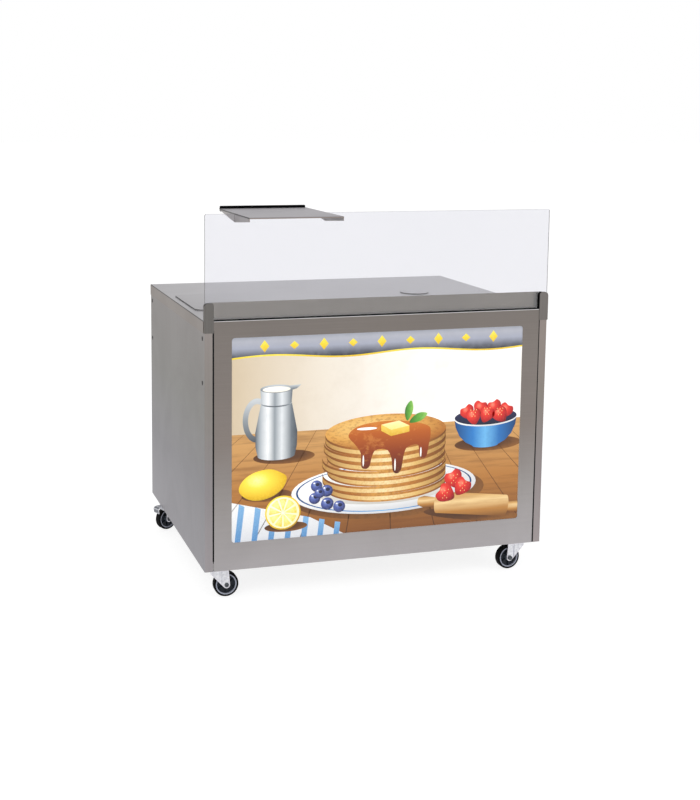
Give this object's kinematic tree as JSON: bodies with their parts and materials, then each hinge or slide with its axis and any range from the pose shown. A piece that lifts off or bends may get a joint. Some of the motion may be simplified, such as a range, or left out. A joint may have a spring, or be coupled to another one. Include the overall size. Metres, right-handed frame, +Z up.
{
  "type": "crepe cart",
  "caption": "Folded stainless food cart on swivel casters, with a clear glass screen, a plate shelf that straddles it, a backlit sign front, a lidded topping pan and open back storage.",
  "frame": {"origin": "centre of the cart's overall box, on the floor under its wheels", "axes": "+Z up, +Y from the sign front to the open back, +X to the right seen from the front"},
  "size_m": [1.1918, 1.073, 1.2207],
  "materials": {
    "brushed_sheet": "brushed stainless sheet",
    "zinc_steel": "bright zinc plating",
    "clear_glass": "clear polished glass",
    "black_rubber": "matte black gasket",
    "black_trim": "satin black trim",
    "sign_print": "backlit printed opal sheet",
    "white_metal": "white enamel",
    "lamp_glass": "opal tube",
    "white_plastic": "matte white",
    "black_plastic": "matte black",
    "rocker_plastic": "gloss black",
    "grey_hub": "moulded grey hub",
    "black_tyre": "black rubber tread"
  },
  "bodies": {
    "cabinet": {"left_side": "brushed_sheet", "right_side": "brushed_sheet", "base_panel": "brushed_sheet", "worktop": "brushed_sheet", "front_panel": "brushed_sheet", "front_ledge": "brushed_sheet", "cross_rails": "brushed_sheet", "upper_runners": "brushed_sheet", "lower_runners": "brushed_sheet", "side_rivets": "brushed_sheet", "inner_shelf": "brushed_sheet", "left_post": "brushed_sheet", "right_post": "brushed_sheet", "pan_frame": "brushed_sheet", "cable_collar": "brushed_sheet", "glass_gaskets": "black_rubber", "sign_panel": "sign_print", "light_box": "white_metal", "lamp_tubes": "lamp_glass", "lamp_holders": "white_plastic", "lamp_driver": "white_metal", "cable_gland": "black_plastic", "light_switch": "black_plastic", "kingpins": "zinc_steel", "backing_plates": "zinc_steel", "caster_bolts": "zinc_steel", "caster_nuts": "zinc_steel", "front_left_plate": "zinc_steel", "front_left_race": "zinc_steel", "front_right_plate": "zinc_steel", "front_right_race": "zinc_steel", "rear_left_plate": "zinc_steel", "rear_left_race": "zinc_steel", "rear_right_plate": "zinc_steel", "rear_right_race": "zinc_steel"},
    "glass_screen": {"glass_panel": "clear_glass"},
    "shelf": {"plate_shelf": "brushed_sheet", "shelf_edge_trim": "black_trim"},
    "pan": {"topping_pan": "brushed_sheet"},
    "lid": {"pan_lid": "brushed_sheet"},
    "cap": {"collar_cap": "brushed_sheet"},
    "rocker": {"switch_rocker": "rocker_plastic"},
    "front_left_swivel": {"front_left_fork": "zinc_steel", "front_left_axle": "zinc_steel"},
    "front_left_wheel": {"front_left_hub": "grey_hub", "front_left_tyre": "black_tyre"},
    "front_right_swivel": {"front_right_fork": "zinc_steel", "front_right_axle": "zinc_steel"},
    "front_right_wheel": {"front_right_hub": "grey_hub", "front_right_tyre": "black_tyre"},
    "rear_left_swivel": {"rear_left_fork": "zinc_steel", "rear_left_axle": "zinc_steel"},
    "rear_left_wheel": {"rear_left_hub": "grey_hub", "rear_left_tyre": "black_tyre"},
    "rear_left_pedal": {"rear_left_brake_pedal": "zinc_steel"},
    "rear_right_swivel": {"rear_right_fork": "zinc_steel", "rear_right_axle": "zinc_steel"},
    "rear_right_wheel": {"rear_right_hub": "grey_hub", "rear_right_tyre": "black_tyre"},
    "rear_right_pedal": {"rear_right_brake_pedal": "zinc_steel"}
  },
  "joints": [
    {"name": "front_left_swivel_turn", "type": "hinge", "parent": "cabinet", "child": "front_left_swivel", "pos_m": [-0.523, -0.3155, 0.0885], "axis": [0, 0, 1], "continuous": true},
    {"name": "front_left_wheel_roll", "type": "hinge", "parent": "front_left_swivel", "child": "front_left_wheel", "pos_m": [-0.496, -0.31597, 0.04], "axis": [0.0175, 0.9998, 0], "continuous": true},
    {"name": "front_right_swivel_turn", "type": "hinge", "parent": "cabinet", "child": "front_right_swivel", "pos_m": [0.505, -0.3155, 0.0885], "axis": [0, 0, 1], "continuous": true},
    {"name": "front_right_wheel_roll", "type": "hinge", "parent": "front_right_swivel", "child": "front_right_wheel", "pos_m": [0.47807, -0.31738, 0.04], "axis": [0.0698, -0.9976, 0], "continuous": true},
    {"name": "rear_left_swivel_turn", "type": "hinge", "parent": "cabinet", "child": "rear_left_swivel", "pos_m": [-0.523, 0.4035, 0.0885], "axis": [0, 0, 1], "continuous": true},
    {"name": "rear_left_wheel_roll", "type": "hinge", "parent": "rear_left_swivel", "child": "rear_left_wheel", "pos_m": [-0.54767, 0.39252, 0.04], "axis": [0.4067, -0.9135, 0], "continuous": true},
    {"name": "rear_left_pedal_press", "type": "hinge", "parent": "rear_left_swivel", "child": "rear_left_pedal", "pos_m": [-0.56859, 0.3832, 0.08309], "axis": [0.4067, -0.9135, 0], "range_deg": [0, 18]},
    {"name": "rear_right_swivel_turn", "type": "hinge", "parent": "cabinet", "child": "rear_right_swivel", "pos_m": [0.523, 0.4035, 0.0885], "axis": [0, 0, 1], "continuous": true},
    {"name": "rear_right_wheel_roll", "type": "hinge", "parent": "rear_right_swivel", "child": "rear_right_wheel", "pos_m": [0.54767, 0.39252, 0.04], "axis": [0.4067, 0.9135, 0], "continuous": true},
    {"name": "rear_right_pedal_press", "type": "hinge", "parent": "rear_right_swivel", "child": "rear_right_pedal", "pos_m": [0.56859, 0.3832, 0.08309], "axis": [0.4067, 0.9135, 0], "range_deg": [0, 18]},
    {"name": "glass_lift", "type": "slide", "parent": "cabinet", "child": "glass_screen", "axis": [0, 0, 1], "range_m": [0, 0.06]},
    {"name": "shelf_slide", "type": "slide", "parent": "glass_screen", "child": "shelf", "axis": [1, 0, 0], "range_m": [-0.08, 0.76]},
    {"name": "pan_lift", "type": "slide", "parent": "cabinet", "child": "pan", "axis": [0, 0, 1], "range_m": [0, 0.12]},
    {"name": "lid_lift", "type": "slide", "parent": "pan", "child": "lid", "axis": [0, 0, 1], "range_m": [0, 0.1]},
    {"name": "cap_lift", "type": "slide", "parent": "cabinet", "child": "cap", "axis": [0, 0, 1], "range_m": [0, 0.12]},
    {"name": "rocker_press", "type": "hinge", "parent": "cabinet", "child": "rocker", "pos_m": [0.33, -0.289, 0.243], "axis": [1, 0, 0], "range_deg": [0, 20]}
  ]
}
